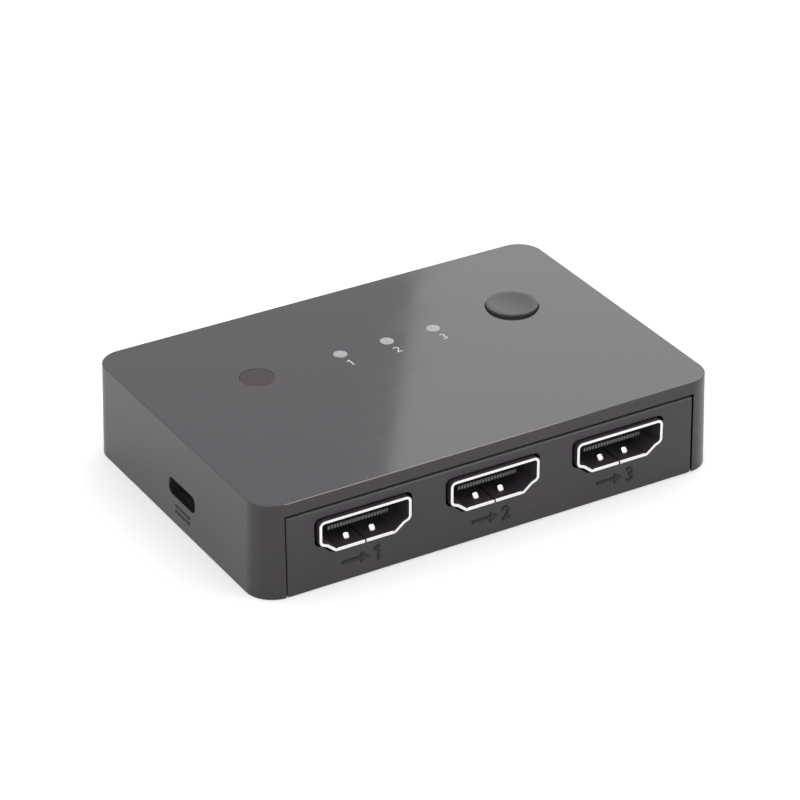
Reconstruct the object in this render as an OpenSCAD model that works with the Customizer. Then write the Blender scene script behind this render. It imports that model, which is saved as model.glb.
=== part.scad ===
// Three-input video switch box: moulded case, end panels, circuit board, sockets and a select button.
// Millimetres, +Z up, inputs towards -Y, power socket towards -X, origin under the middle of the case.

/* [Case] */
// Width of the case across its top
case_w = 76; // [72:0.5:90]
// Depth of the case across its top
case_d = 51.5; // [48:0.5:64]
// Height of the case
case_h = 15; // [14.6:0.1:18]
// Radius of the upright corners at the top
corner_r = 4; // [3:0.1:5]
// How far each side leans out from top to bottom
case_draft = 0.35; // [0.1:0.05:0.6]
// Break on the edge round the top
top_break = 0.08; // [0.04:0.02:0.4]
// Thickness of the side walls
wall_t = 1.8; // [1.5:0.1:2.2]
// Thickness of the top
top_t = 1.95; // [1.6:0.05:2.2]
// Thickness of the floor
floor_t = 1.5; // [1.2:0.1:1.8]
// Radius of the upright corners of the hollow
hollow_r = 1.2; // [0.8:0.1:1.5]
// Room between the floor and the side walls
floor_gap = 0.15; // [0.1:0.05:0.3]
// How far the side walls stop above the underside
skirt_lift = 0.1; // [0.05:0.05:0.3]

/* [End panels] */
// Width of the case's corner posts beside an end panel
post_w = 3.82; // [3:0.1:5]
// Gap beside an end panel
panel_gap = 0.25; // [0.2:0.05:0.6]
// Gap between an end panel and the top above it
lip_gap = 0.5; // [0.3:0.05:0.7]
// Thickness of an end panel at its top
panel_t = 1.75; // [1.4:0.05:2]
// Bevel along an end panel's upper edge
panel_bevel = 0.15; // [0.1:0.05:0.5]
// Width of the shallow bevel along an end panel's upright edges
panel_side_bevel = 0.5; // [0.2:0.05:0.8]
// How far that bevel falls back at the edge
panel_side_fall = 0.12; // [0.05:0.01:0.3]
// Thickness of the flange and tabs that hold an end panel
tab_t = 1; // [0.8:0.1:1.4]
// How far a tab reaches behind the corner post
tab_reach = 1.3; // [0.8:0.1:1.6]
// Width of the stiff strip behind an end panel's edge
tab_root = 3; // [2:0.5:3.5]
// Height of the flange that stands on the floor
flange_h = 1.2; // [0.8:0.1:1.4]
// Room between an end panel and what holds it
panel_play = 0.1; // [0.05:0.05:0.2]

/* [Circuit board] */
// Height of the posts under the board
board_lift = 1.6; // [1.5:0.1:2.2]
// Thickness of the board
board_t = 1.6; // [1:0.2:1.6]
// Room between the board and the side walls
board_side_gap = 0.3; // [0.2:0.1:0.6]
// Room between the board and the flanges of the end panels
board_end_gap = 0.25; // [0.15:0.05:0.5]

/* [Case screws] */
// Distance from the hollow's side walls to a screw
screw_inset_x = 3.3; // [3:0.1:3.6]
// Distance from the hollow's end walls to a screw
screw_inset_y = 4.6; // [4.4:0.1:6]
// Radius of a screw's shank
screw_r = 1; // [0.8:0.05:1.2]
// Radius of a screw's head
screw_head_r = 1.9; // [1.7:0.1:2.1]
// Thickness of a screw's head
screw_head_h = 1.2; // [1:0.1:1.4]
// Length of the cross in a screw's head
cross_l = 2.2; // [1.8:0.1:2.6]
// Width of the cross in a screw's head
cross_w = 0.5; // [0.4:0.05:0.6]
// Depth of the cross in a screw's head
cross_d = 0.7; // [0.5:0.1:0.8]
// How deep a screw's head is sunk below the underside
screw_sink = 0.4; // [0.2:0.1:0.6]
// Length of a screw under its head
screw_len = 8; // [6:0.5:9]
// Radius of the bosses and posts round the screws
boss_r = 2.5; // [2.3:0.1:2.7]
// Room round a screw's shank in the board and the floor
screw_room = 0.25; // [0.15:0.05:0.4]
// Room round a screw's shank in the boss
thread_room = 0.03; // [0.02:0.01:0.06]

/* [Video sockets] */
// Width of a video socket's opening
video_w = 14; // [13.6:0.1:14.4]
// Height of a video socket's opening
video_h = 4.55; // [4.4:0.05:4.8]
// Thickness of a video socket's metal shell
video_skin = 0.42; // [0.3:0.02:0.5]
// Depth of the metal shell
video_depth = 11.5; // [11:0.1:12.5]
// Height of the opening's upright sides
video_side_h = 3.05; // [2.8:0.05:3.2]
// How far the shoulder steps in
shoulder_in = 0.95; // [0.8:0.05:1.1]
// How far the shoulder falls as it steps in
shoulder_fall = 0.4; // [0.3:0.05:0.5]
// How far the slanted lower corner runs in
slant_in = 1.35; // [1.1:0.05:1.5]
// Radius of the opening's corners
video_corner_r = 0.45; // [0.3:0.05:0.5]
// How far a video socket stands out of its panel
video_proud = 0.6; // [0.3:0.1:1]
// Height of the metal shell above the board
video_lift = 0.8; // [0.6:0.1:1]
// Distance from an end panel's edge to the middle of the outer input
input_end = 12.63; // [11.5:0.1:14]
// Sideways shift of the row of inputs from the middle
input_shift = -0.35; // [-0.6:0.05:0.4]
// Room beside a video socket in its panel
cutout_side_room = 0.5; // [0.3:0.05:0.6]
// Room above and below a video socket in its panel
cutout_top_room = 0.3; // [0.2:0.05:0.5]
// Height of the lead-in along the bottom of the opening
lead_h = 0.2; // [0.14:0.02:0.28]
// Depth of the lead-in along the bottom of the opening
lead_d = 0.16; // [0.1:0.02:0.4]
// Width of the seam under the metal shell
seam_w = 0.24; // [0.1:0.02:0.3]
// Distance between the two spring fingers
finger_pitch = 4.2; // [3.8:0.1:5]
// Width of a spring finger's raised tip
finger_w = 0.84; // [0.7:0.02:1]
// Length of a spring finger's raised tip
finger_l = 0.58; // [0.5:0.02:0.7]
// Radius of the tip's corners
finger_r = 0.2; // [0.1:0.02:0.24]
// How far the tip rises from front to back
finger_rise = 0.64; // [0.5:0.02:0.75]
// Height of the tip's front edge
finger_lip = 0.04; // [0.02:0.01:0.08]
// Distance of the tips behind the mouth
finger_back = 1.7; // [1.6:0.05:2]
// Width of the tongue
tongue_w = 9.8; // [9.6:0.1:10.6]
// Thickness of the tongue
tongue_t = 1.3; // [1.1:0.05:1.5]
// Distance from the opening's top to the tongue's middle
tongue_drop = 2.7; // [2.5:0.05:2.9]
// Distance of the tongue behind the mouth
tongue_back = 2.2; // [2.1:0.1:2.8]
// Thickness of the tongue's nose
nose_t = 0.6; // [0.5:0.05:0.8]
// Length of the slant under the tongue's nose
nose_run = 1.2; // [0.9:0.05:1.4]
// Width of the fine grooves in the tongue's nose
groove_w = 0.18; // [0.12:0.02:0.24]
// Depth of the fine grooves in the tongue's nose
groove_d = 0.2; // [0.1:0.02:0.3]
// Depth of the moulded block at the back of the socket
block_depth = 5.5; // [4.5:0.1:6]
// How far the block stands out behind the metal shell
block_tail = 1.5; // [1:0.1:2]
// Room between the block and the metal shell
block_room = 0.05; // [0.03:0.01:0.1]
// Width of one contact
contact_w = 0.3; // [0.2:0.02:0.4]
// Thickness of one contact
contact_t = 0.12; // [0.08:0.02:0.2]
// Distance between contacts on one side of the tongue
contact_pitch = 1; // [0.9:0.05:1.05]
// Contacts on the upper side, with one fewer below
contact_count = 10; // [8:1:10]
// Depth of a solder leg along the socket
leg_d = 1.2; // [0.8:0.1:1.6]
// Distance of the front solder legs behind the mouth
leg_back = 5.6; // [5.4:0.1:6.2]
// Distance between front and rear solder legs
leg_pitch = 4.6; // [4:0.1:5]
// How far a solder leg shows under the board
leg_show = 0.3; // [0.1:0.1:0.6]
// Room round a solder leg in the board
leg_room = 0.25; // [0.15:0.05:0.3]

/* [Power socket] */
// Width of the power socket's metal shell
power_w = 7.5; // [7.2:0.1:7.8]
// Height of the power socket's metal shell
power_h = 2.45; // [2.3:0.05:2.6]
// Depth of the power socket's metal shell
power_depth = 5.2; // [4.8:0.1:5.6]
// Thickness of the power socket's metal shell
power_skin = 0.28; // [0.2:0.02:0.32]
// Slant of the lower corners of the power socket
power_slant = 0.9; // [0.6:0.1:1.1]
// Corner radius of the power socket's metal shell
power_corner_r = 0.4; // [0.35:0.05:0.5]
// Place of the power socket along the side, from the middle
power_y = -2.6; // [-5:0.1:3]
// Room between the power socket's mouth and the side wall
power_gap = 0.15; // [0.1:0.05:0.3]
// Width of the slot in the side wall
slot_w = 7.5; // [7:0.1:8]
// Height of the slot in the side wall
slot_h = 2.2; // [2:0.1:2.8]
// Corner radius of the slot
slot_r = 0.8; // [0.6:0.1:1.1]
// Soft edge round the slot
slot_bevel = 0.26; // [0.1:0.02:0.5]
// Thickness of the power socket's tongue
power_tongue_t = 0.6; // [0.5:0.05:0.7]
// Width of the power socket's tongue
power_tongue_w = 3.9; // [3.4:0.1:4.2]
// Distance of the power tongue behind the mouth
power_tongue_back = 0.6; // [0.4:0.1:1]
// Depth of the moulded block in the power socket
power_block = 1.6; // [1.2:0.1:2]
// Distance between the power contacts
power_pitch = 0.65; // [0.6:0.01:0.7]
// Width of one power contact
power_contact_w = 0.3; // [0.2:0.02:0.36]

/* [Select button] */
// Distance from the case's right side to the button's middle
button_inset = 14; // [12:0.5:18]
// Distance from the case's back to the middle of the button's row
row_inset = 17.75; // [17:0.25:19]
// Radius of the button
button_r = 4; // [3:0.1:5]
// How far the button stands above the top
button_rise = 0.5; // [0.35:0.05:0.8]
// Depth of the finger hollow in the button
button_dish = 0.25; // [0.15:0.05:0.3]
// Room round the button in its hole
button_room = 0.15; // [0.1:0.05:0.25]
// How far the button's flange reaches out
button_flange = 1; // [0.7:0.1:1.3]
// Thickness of the button's flange
button_flange_t = 0.9; // [0.7:0.1:1.1]
// Room between the button's flange and the underside of the top
button_seat = 0.05; // [0.03:0.01:0.08]
// Travel of the button
button_travel = 0.3; // [0.2:0.05:0.35]

/* [Press switch] */
// Width of the press switch's square body
switch_w = 6; // [5.5:0.1:6.5]
// Height of the press switch's body
switch_h = 3.5; // [3.2:0.1:3.8]
// Radius of the press switch's plunger
plunger_r = 1.7; // [1.5:0.05:1.9]
// Room round the plunger in its bore
plunger_room = 0.05; // [0.03:0.01:0.1]
// Depth of the plunger's bore
plunger_bore = 2.6; // [2.2:0.1:2.8]
// Room left under the plunger when it is pressed
plunger_spare = 0.15; // [0.1:0.05:0.3]

/* [Indicators] */
// Place of the middle indicator across the top
light_x = 2; // [0:0.5:4]
// Distance between indicators
light_pitch = 8; // [6:0.5:9]
// Radius of an indicator's light post
light_r = 1.1; // [0.9:0.1:1.4]
// Room round a light post in its hole
light_room = 0.04; // [0.03:0.01:0.08]
// Width of the bar that joins the light posts
bar_w = 4.4; // [4:0.1:5]
// Thickness of the bar that joins the light posts
bar_t = 1; // [0.8:0.1:1.2]
// Radius of the pins that hold the bar
pin_r = 0.7; // [0.6:0.05:0.8]
// Length of a lamp on the board
lamp_l = 3.2; // [2.8:0.1:3.4]
// Width of a lamp on the board
lamp_w = 1.6; // [1.4:0.1:1.8]
// Height of a lamp's body
lamp_h = 0.7; // [0.5:0.05:0.9]
// Radius of a lamp's lens
lamp_lens_r = 0.6; // [0.5:0.05:0.7]
// Room between a lamp and its light post
lamp_gap = 0.3; // [0.2:0.05:0.5]

/* [Infrared receiver] */
// Distance from the case's left side to the receiver's middle
receiver_inset = 18; // [14:0.5:20]
// Radius of the receiver's window
window_r = 2.6; // [2.3:0.1:3]
// How far the window's flange reaches out
window_flange = 0.8; // [0.6:0.1:1]
// Thickness of the window's flange
window_flange_t = 0.8; // [0.6:0.1:1]
// Room round the window in its hole
window_room = 0.04; // [0.03:0.01:0.08]
// Width of the receiver's body
receiver_w = 6; // [5.5:0.1:6.5]
// Depth of the receiver's body
receiver_d = 5.3; // [5:0.1:5.6]
// Height of the receiver's body
receiver_h = 2.8; // [2.4:0.1:3]
// Radius of the receiver's lens
receiver_lens_r = 1.9; // [1.6:0.1:2.1]
// Room between the receiver's lens and the window
receiver_gap = 0.3; // [0.2:0.05:0.6]
// Distance between the receiver's legs
receiver_pitch = 1.9; // [1.5:0.05:2.1]
// Width of a receiver's leg
receiver_leg = 0.5; // [0.4:0.05:0.6]

/* [Parts on the board] */
// Width of the switching chip
chip_w = 10; // [9:0.5:11]
// Thickness of a chip
chip_t = 1.4; // [1.2:0.1:1.6]
// Legs on one side of the switching chip
chip_legs = 16; // [12:2:16]
// Distance between the switching chip's legs
chip_pitch = 0.5; // [0.45:0.05:0.55]
// Place of the switching chip in front of the board's middle
chip_y = -3; // [-4:0.25:-2.5]
// Length of the control chip
control_l = 9.9; // [9:0.1:10.5]
// Width of the control chip
control_w = 3.9; // [3.6:0.1:4.2]
// Legs on one side of the control chip
control_legs = 8; // [6:1:8]
// Distance between the control chip's legs
control_pitch = 1.27; // [1.1:0.01:1.27]
// Distance from the case's right side to the control chip's middle
control_inset = 22; // [20:0.5:24]
// Reach of a chip's legs past its body
leg_reach = 1; // [0.8:0.1:1.1]
// Thickness of a chip's legs
leg_t = 0.15; // [0.1:0.05:0.2]
// Radius of the smoothing capacitor
cap_r = 2.5; // [2:0.1:3.1]
// Height of the smoothing capacitor's can
cap_h = 5; // [4.5:0.1:5.6]
// Thickness of the smoothing capacitor's seat
cap_seat_t = 0.6; // [0.5:0.05:0.8]
// Distance from the case's left side to the smoothing capacitor's middle
cap_inset = 14; // [13:0.5:16]
// Length of the voltage regulator
reg_l = 6.5; // [6:0.1:6.8]
// Width of the voltage regulator
reg_w = 3.5; // [3.2:0.1:3.8]
// Thickness of the voltage regulator
reg_t = 1.6; // [1.4:0.1:1.8]
// Distance from the case's left side to the voltage regulator's middle
reg_inset = 23; // [22:0.5:25]

/* [Hidden] */
$fn = 48;
overlap = 0.2;  // how far joined shapes sink into each other
past = 1;       // how far a cut runs past the face it opens
arc_steps = 4;  // straight steps in a socket's rounded corner

// Heights
under_top = case_h - top_t;
board_z = floor_t + board_lift;
board_top = board_z + board_t;
panel_top = under_top - lip_gap;
video_z = board_top + video_lift + video_skin;  // bottom of a video opening
tongue_z = video_z + video_h - tongue_drop;     // middle of a video socket's tongue
draft_angle = atan(case_draft / case_h);

// The hollow, the notches and what fits between them
hollow_x = case_w / 2 - wall_t;
hollow_y = case_d / 2 - wall_t;
notch_x = case_w / 2 - post_w;
panel_x = notch_x - panel_gap;
panel_in = case_d / 2 - panel_t;
tab_out = hollow_y - panel_play;
tab_in = tab_out - tab_t;
board_x = hollow_x - board_side_gap;
board_y = tab_in - board_end_gap;
screw_x = hollow_x - screw_inset_x;
screw_y = hollow_y - screw_inset_y;
mouth_y = case_d / 2 + lean(video_z + video_h / 2) + video_proud;
lead_w = video_w - 2 * (shoulder_in + slant_in) - video_corner_r;
power_mouth = hollow_x - power_gap;
slot_z = board_top + power_h / 2;
power_tongue_z = power_h - power_skin - 2 * power_tongue_t;  // under the tongue, above the board
button_x = case_w / 2 - button_inset;
receiver_x = receiver_inset - case_w / 2;
control_x = case_w / 2 - control_inset;
cap_x = cap_inset - case_w / 2;
reg_x = reg_inset - case_w / 2;
row_y = case_d / 2 - row_inset;
light_xs = [for (i = [-1:1]) light_x + i * light_pitch];
pin_xs = [for (s = [-1, 1]) light_x + s * light_pitch / 2];
input_pitch = panel_x - input_end;
input_xs = [for (i = [-1:1]) input_shift + i * input_pitch];
output_xs = [0];

// How far a side leans out at height z
function lean(z) = case_draft * (1 - z / case_h);

function unit(v) = v / norm(v);

// Points of the arc that rounds corner b, between its neighbours a and c
function corner_arc(a, b, c, r) =
  let (u = unit(a - b), v = unit(c - b), half = acos(u * v) / 2)
  let (middle = b + unit(u + v) * r / sin(half), from = b + u * r / tan(half) - middle)
  let (to = b + v * r / tan(half) - middle)
  [for (i = [0:arc_steps]) middle + r * unit(from * (1 - i / arc_steps) + to * i / arc_steps)];

// An outline with each corner rounded by its own radius
function rounded(points, radii) =
  let (n = len(points))
  [for (i = [0:n - 1]) each corner_arc(points[(i + n - 1) % n], points[i], points[(i + 1) % n], radii[i])];

// Half of a video opening from its top corner down, then the other half mirrored
function video_half() = [
  [video_w / 2, video_h],
  [video_w / 2, video_h - video_side_h],
  [video_w / 2 - shoulder_in, video_h - video_side_h - shoulder_fall],
  [video_w / 2 - shoulder_in - slant_in, 0]
];

// A clockwise outline moved out by a distance, with mitred corners
function grown(points, by) =
  let (n = len(points))
  [for (i = [0:n - 1])
    let (u = unit(points[i] - points[(i + n - 1) % n]), v = unit(points[(i + 1) % n] - points[i]))
    let (p = [-u[1], u[0]], q = [-v[1], v[0]])
    points[i] + by * (p + q) / (1 + p * q)];

// Outline of a video opening moved out by a distance, with its bottom at zero before the move
function video_outline(by) =
  let (half = video_half(), n = len(half), r = video_corner_r)
  let (other = [for (i = [n - 1:-1:0]) [-half[i][0], half[i][1]]])
  let (outer = r + max(by, 0), inner = max(r - max(by, 0), r / 4))
  let (radii = [outer, outer, inner, outer, outer, inner, outer, outer])
  rounded(grown(concat(half, other), by), radii);

// Outline of the power socket's shell moved in by a distance, with its bottom at zero
function power_outline(by) =
  let (w = power_w / 2, h = power_h, s = power_slant)
  let (points = [[w, h], [w, s], [w - s, 0], [s - w, 0], [-w, s], [-w, h]])
  rounded(grown(points, -by), [for (i = [0:5]) max(power_corner_r - by, power_corner_r / 4)]);

// A rectangle about the origin with round corners
module rounded_square(w, d, r) {
  square([w - 2 * r, d], center = true);
  square([w, d - 2 * r], center = true);
  for (x = [-1, 1], y = [-1, 1])
    translate([x * (w / 2 - r), y * (d / 2 - r)]) circle(r);
}

// A block between two heights whose round corners have a radius for each height
module leaning_block(z0, z1, r0, r1) {
  x = case_w / 2 - corner_r;
  y = case_d / 2 - corner_r;
  rotate([90, 0, 0]) translate([0, 0, -y]) linear_extrude(2 * y)
    polygon([[-x - r0, z0], [x + r0, z0], [x + r1, z1], [-x - r1, z1]]);
  rotate([90, 0, 90]) translate([0, 0, -x]) linear_extrude(2 * x)
    polygon([[-y - r0, z0], [y + r0, z0], [y + r1, z1], [-y - r1, z1]]);
  for (i = [-1, 1], j = [-1, 1])
    translate([i * x, j * y, z0]) cylinder(h = z1 - z0, r1 = r0, r2 = r1);
}

// Places something at each case screw
module at_screws() {
  for (i = [-1, 1], j = [-1, 1]) translate([i * screw_x, j * screw_y, 0]) children();
}

// Turns a shape drawn in X and height into a run along Y, starting at y
module run_back(y, depth) {
  translate([0, y + depth, 0]) rotate([90, 0, 0]) linear_extrude(depth) children();
}

// Turns a shape drawn in Y and height into a run along X, starting at x
module run_across(x, depth) {
  translate([x, 0, 0]) rotate([90, 0, 90]) linear_extrude(depth) children();
}

// Slot in the left wall, a little wider at the outside
module power_slot() {
  outside = -case_w / 2 - case_draft;
  translate([0, power_y, slot_z]) {
    run_across(outside - past, wall_t + case_draft + 2 * past) rounded_square(slot_w, slot_h, slot_r);
    hull() {
      run_across(-case_w / 2 - lean(slot_z) + slot_bevel, past) rounded_square(slot_w, slot_h, slot_r);
      run_across(-case_w / 2 - lean(slot_z) - slot_bevel, slot_bevel)
        rounded_square(slot_w + 2 * slot_bevel, slot_h + 2 * slot_bevel, slot_r + slot_bevel);
    }
  }
}

// Round hole through the top, in the button's row
module top_hole(x, r) {
  translate([x, row_y, under_top - past]) cylinder(h = top_t + 2 * past, r = r);
}

module upper_shell() color("#2b2a2d") {
  top_edge = case_h - top_break;
  edge_r = corner_r + lean(top_edge);
  difference() {
    union() {
      difference() {
        union() {
          leaning_block(skirt_lift, top_edge, corner_r + lean(skirt_lift), edge_r);
          leaning_block(top_edge, case_h, edge_r, edge_r - top_break);
        }
        translate([0, 0, -past]) linear_extrude(under_top + past)
          rounded_square(2 * hollow_x, 2 * hollow_y, hollow_r);
        translate([-notch_x, -case_d, -past]) cube([2 * notch_x, 2 * case_d, under_top + past]);
        power_slot();
      }
      at_screws() translate([0, 0, board_top]) cylinder(h = under_top - board_top + overlap, r = boss_r);
      for (x = pin_xs) translate([x, row_y, under_top - bar_t]) cylinder(h = bar_t + overlap, r = pin_r);
    }
    at_screws() translate([0, 0, board_top - past])
      cylinder(h = screw_sink + screw_head_h + screw_len + 2 * past - board_top, r = screw_r + thread_room);
    top_hole(button_x, button_r + button_room);
    top_hole(receiver_x, window_r + window_room);
    for (x = light_xs) top_hole(x, light_r + light_room);
  }
}

module base_plate() color("#262528") {
  stop_l = input_pitch / 2;
  stop_y = tab_in - panel_play - tab_t / 2;
  difference() {
    union() {
      linear_extrude(floor_t)
        rounded_square(2 * (hollow_x - floor_gap), 2 * (hollow_y - floor_gap), hollow_r - floor_gap);
      at_screws() translate([0, 0, floor_t - overlap]) cylinder(h = board_lift + overlap, r = boss_r);
      // Stops behind the flanges of the end panels
      for (i = [-1, 1], j = [-1, 1])
        translate([i * stop_l, j * stop_y, floor_t + (flange_h - overlap) / 2])
          cube([stop_l, tab_t, flange_h + overlap], center = true);
    }
    at_screws() translate([0, 0, -past]) {
      cylinder(h = board_z + 2 * past, r = screw_r + screw_room);
      cylinder(h = screw_sink + screw_head_h + past, r = screw_head_r + screw_room);
    }
  }
}

// One end panel, at the front, with a cut-out for a video socket at each place
module end_panel(places) {
  face_0 = -case_d / 2 - lean(skirt_lift);
  face_1 = -case_d / 2 - lean(panel_top - panel_bevel);
  room = [(video_w + 2 * video_skin + 2 * cutout_side_room) / (video_w + 2 * video_skin),
    (video_h + 2 * video_skin + 2 * cutout_top_room) / (video_h + 2 * video_skin)];
  difference() {
    union() {
      run_across(-panel_x, 2 * panel_x) polygon([
        [face_0, skirt_lift], [face_1, panel_top - panel_bevel], [face_1 + panel_bevel, panel_top],
        [-panel_in, panel_top], [-panel_in, skirt_lift]]);
      // Flange on the floor
      translate([-panel_x, -panel_in - overlap, floor_t])
        cube([2 * panel_x, panel_in + overlap - tab_in, flange_h]);
      // Tabs behind the corner posts
      for (s = [0, 1]) mirror([s, 0, 0]) {
        translate([panel_x - tab_root, -panel_in - overlap, floor_t])
          cube([tab_root, panel_in + overlap - tab_in, panel_top - floor_t]);
        translate([panel_x - overlap, -tab_out, floor_t])
          cube([tab_reach + overlap, tab_t, panel_top - floor_t]);
      }
    }
    // Bevels along the upright edges
    for (s = [-1, 1])
      translate([s * panel_x, face_0, skirt_lift]) rotate([-draft_angle, 0, 0])
        translate([0, 0, -case_h]) linear_extrude(3 * case_h) polygon([
          [-s * panel_side_bevel, 0], [s * past, panel_side_fall * (1 + past / panel_side_bevel)],
          [s * past, -past], [-s * panel_side_bevel, -past]]);
    for (x = places)
      translate([x, 0, video_z + video_h / 2]) run_back(-case_d / 2 - past, panel_t + 2 * past)
        polygon([for (p = video_outline(video_skin))
          [p[0] * room[0], (p[1] - video_h / 2) * room[1]]]);
  }
}

module front_panel() color("#29282b") end_panel(input_xs);

module rear_panel() color("#29282b") rotate([0, 0, 180]) end_panel(output_xs);

module case_screws() color("#8d8f92") at_screws() translate([0, 0, screw_sink]) difference() {
  union() {
    cylinder(h = screw_head_h, r = screw_head_r);
    cylinder(h = screw_head_h + screw_len, r = screw_r);
  }
  for (a = [0, 90]) rotate([0, 0, a]) cube([cross_l, cross_w, 2 * cross_d], center = true);
}

// Solder legs of a video socket at the front, or the room that they need in the board
module video_legs(x, room) {
  z0 = board_z - leg_show - (room > 0 ? past : 0);
  z1 = video_z + video_h - video_side_h / 2;
  for (s = [-1, 1], k = [0, 1])
    translate([x + s * (video_w + video_skin) / 2, leg_back + k * leg_pitch - mouth_y, (z0 + z1) / 2])
      cube([video_skin + 2 * room, leg_d + 2 * room, z1 - z0], center = true);
}

module circuit_board() color("#1d5a36") difference() {
  translate([-board_x, -board_y, board_z]) cube([2 * board_x, 2 * board_y, board_t]);
  at_screws() translate([0, 0, board_z - past]) cylinder(h = board_t + 2 * past, r = screw_r + screw_room);
  for (x = input_xs) video_legs(x, leg_room);
  rotate([0, 0, 180]) video_legs(output_xs[0], leg_room);
}

// Metal shell of a video socket at the front, centred on x
module video_shell(x) color("#d9d9d6") {
  difference() {
    translate([x, 0, video_z]) run_back(-mouth_y, video_depth) polygon(video_outline(video_skin));
    translate([x, 0, video_z]) run_back(-mouth_y - past, video_depth + 2 * past) polygon(video_outline(0));
    // Lead-in between the slanted corners
    translate([x, 0, video_z]) run_across(-lead_w / 2, lead_w) polygon([
      [-mouth_y - past, -lead_h], [-mouth_y, -lead_h], [lead_d - mouth_y, 0], [lead_d - mouth_y, past],
      [-mouth_y - past, past]]);
    // Seam where the sheet's edges meet
    translate([x - seam_w / 2, -mouth_y - past, video_z - video_skin - past])
      cube([seam_w, video_depth + 2 * past, video_skin + 2 * past]);
  }
  // Tips of the spring fingers in the floor of the opening, sloping down to the mouth
  for (i = [-1, 1])
    translate([x + i * finger_pitch / 2, finger_back + finger_l / 2 - mouth_y, video_z]) intersection() {
      translate([0, 0, -overlap]) linear_extrude(2 * finger_rise)
        rounded_square(finger_w, finger_l, finger_r);
      run_across(-finger_w, 2 * finger_w) polygon([
        [-finger_l, -past], [-finger_l, finger_lip - finger_rise / 2],
        [finger_l, finger_lip + finger_rise * 3 / 2], [finger_l, -past]]);
    }
  video_legs(x, 0);
}

// Moulded block and tongue of a video socket at the front
module video_insulator(x) color("#1a1a1c") translate([x, 0, 0]) {
  block_y = video_depth - block_depth - mouth_y;
  nose = tongue_back - mouth_y;
  half = tongue_t / 2;
  tail_top = video_z + video_h - block_room;
  translate([0, 0, video_z]) run_back(block_y, block_depth + overlap) polygon(video_outline(-block_room));
  translate([-tongue_w / 2, video_depth - mouth_y, board_top])
    cube([tongue_w, block_tail, tail_top - board_top]);
  grooves = 2 * contact_count - 1;
  translate([0, 0, tongue_z]) difference() {
    run_across(-tongue_w / 2, tongue_w) polygon([
      [block_y + overlap, -half], [nose + nose_run, -half], [nose, half - nose_t], [nose, half],
      [block_y + overlap, half]]);
    // One fine groove in the nose in front of each contact
    for (i = [0:grooves - 1])
      translate([(i - (grooves - 1) / 2) * contact_pitch / 2 - groove_w / 2, nose - past, -half - past])
        cube([groove_w, past + groove_d, tongue_t + 2 * past]);
  }
}

// Contacts on both sides of a video socket's tongue, at the front
module video_contacts(x) color("#c9a24a") {
  tip = tongue_back + nose_run - mouth_y;
  root = video_depth - block_depth - mouth_y;
  for (under = [0, 1], i = [0:contact_count - 1 - under])
    translate([x + (i - (contact_count - 1 - under) / 2) * contact_pitch, 0, tongue_z])
      mirror([0, 0, under]) translate([-contact_w / 2, tip, tongue_t / 2])
        cube([contact_w, root - tip, contact_t]);
}

module power_socket_shell() color("#cfcfcc") translate([0, power_y, board_top]) difference() {
  run_across(-power_mouth, power_depth) polygon(power_outline(0));
  run_across(-power_mouth - past, power_depth + 2 * past) polygon(power_outline(power_skin));
}

module power_socket_insulator() color("#1a1a1c") translate([0, power_y, board_top]) {
  block_x = power_depth - power_block - power_mouth;
  run_across(block_x, power_block) polygon(power_outline(power_skin + block_room));
  tongue_x = power_tongue_back - power_mouth;
  translate([tongue_x, -power_tongue_w / 2, power_tongue_z])
    cube([block_x + overlap - tongue_x, power_tongue_w, power_tongue_t]);
}

module power_socket_contacts() color("#c9a24a") translate([0, power_y, board_top]) {
  length = power_depth - power_block - 2 * power_tongue_back;
  contact_x = 2 * power_tongue_back - power_mouth;
  for (i = [-2:2])
    translate([contact_x, i * power_pitch - power_contact_w / 2, power_tongue_z - contact_t])
      cube([length, power_contact_w, contact_t]);
}

module select_button() color("#3a393d") translate([button_x, row_y, 0]) {
  flange_z = under_top - button_seat - button_flange_t;
  cap_top = case_h + button_rise;
  dish_r = (pow(button_r, 2) + pow(button_dish, 2)) / (2 * button_dish);
  difference() {
    union() {
      translate([0, 0, flange_z]) cylinder(h = button_flange_t, r = button_r + button_flange);
      translate([0, 0, flange_z]) cylinder(h = cap_top - flange_z, r = button_r);
    }
    translate([0, 0, cap_top + dish_r - button_dish]) sphere(r = dish_r, $fn = 96);
  }
}

module press_switch_body() color("#232326") translate([button_x, row_y, board_top]) difference() {
  translate([-switch_w / 2, -switch_w / 2, 0]) cube([switch_w, switch_w, switch_h]);
  translate([0, 0, switch_h - plunger_bore])
    cylinder(h = plunger_bore + past, r = plunger_r + plunger_room);
}

module press_switch_plunger() color("#e6e3da") {
  z0 = board_top + switch_h - plunger_bore + plunger_spare + button_travel;
  z1 = under_top - button_seat - button_flange_t;
  translate([button_x, row_y, z0]) cylinder(h = z1 - z0, r = plunger_r);
}

// A lamp on the board under one light post
module lamp(x) color("#eceade") translate([x, row_y, board_top]) {
  translate([-lamp_l / 2, -lamp_w / 2, 0]) cube([lamp_l, lamp_w, lamp_h]);
  translate([0, 0, lamp_h]) intersection() {
    sphere(r = lamp_lens_r);
    translate([-past, -past, -overlap]) cube([2 * past, 2 * past, lamp_lens_r + overlap]);
  }
}

module light_guide() color("#dfe6ea") difference() {
  bar_l = 2 * light_pitch + bar_w;
  post_z = board_top + lamp_h + lamp_lens_r + lamp_gap;
  union() {
    translate([light_x, row_y, under_top - bar_t]) linear_extrude(bar_t)
      rounded_square(bar_l, bar_w, bar_w / 3);
    for (x = light_xs) translate([x, row_y, post_z]) cylinder(h = case_h - post_z, r = light_r);
  }
  for (x = pin_xs)
    translate([x, row_y, under_top - bar_t - past]) cylinder(h = bar_t + 2 * past, r = pin_r + light_room);
}

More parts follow.
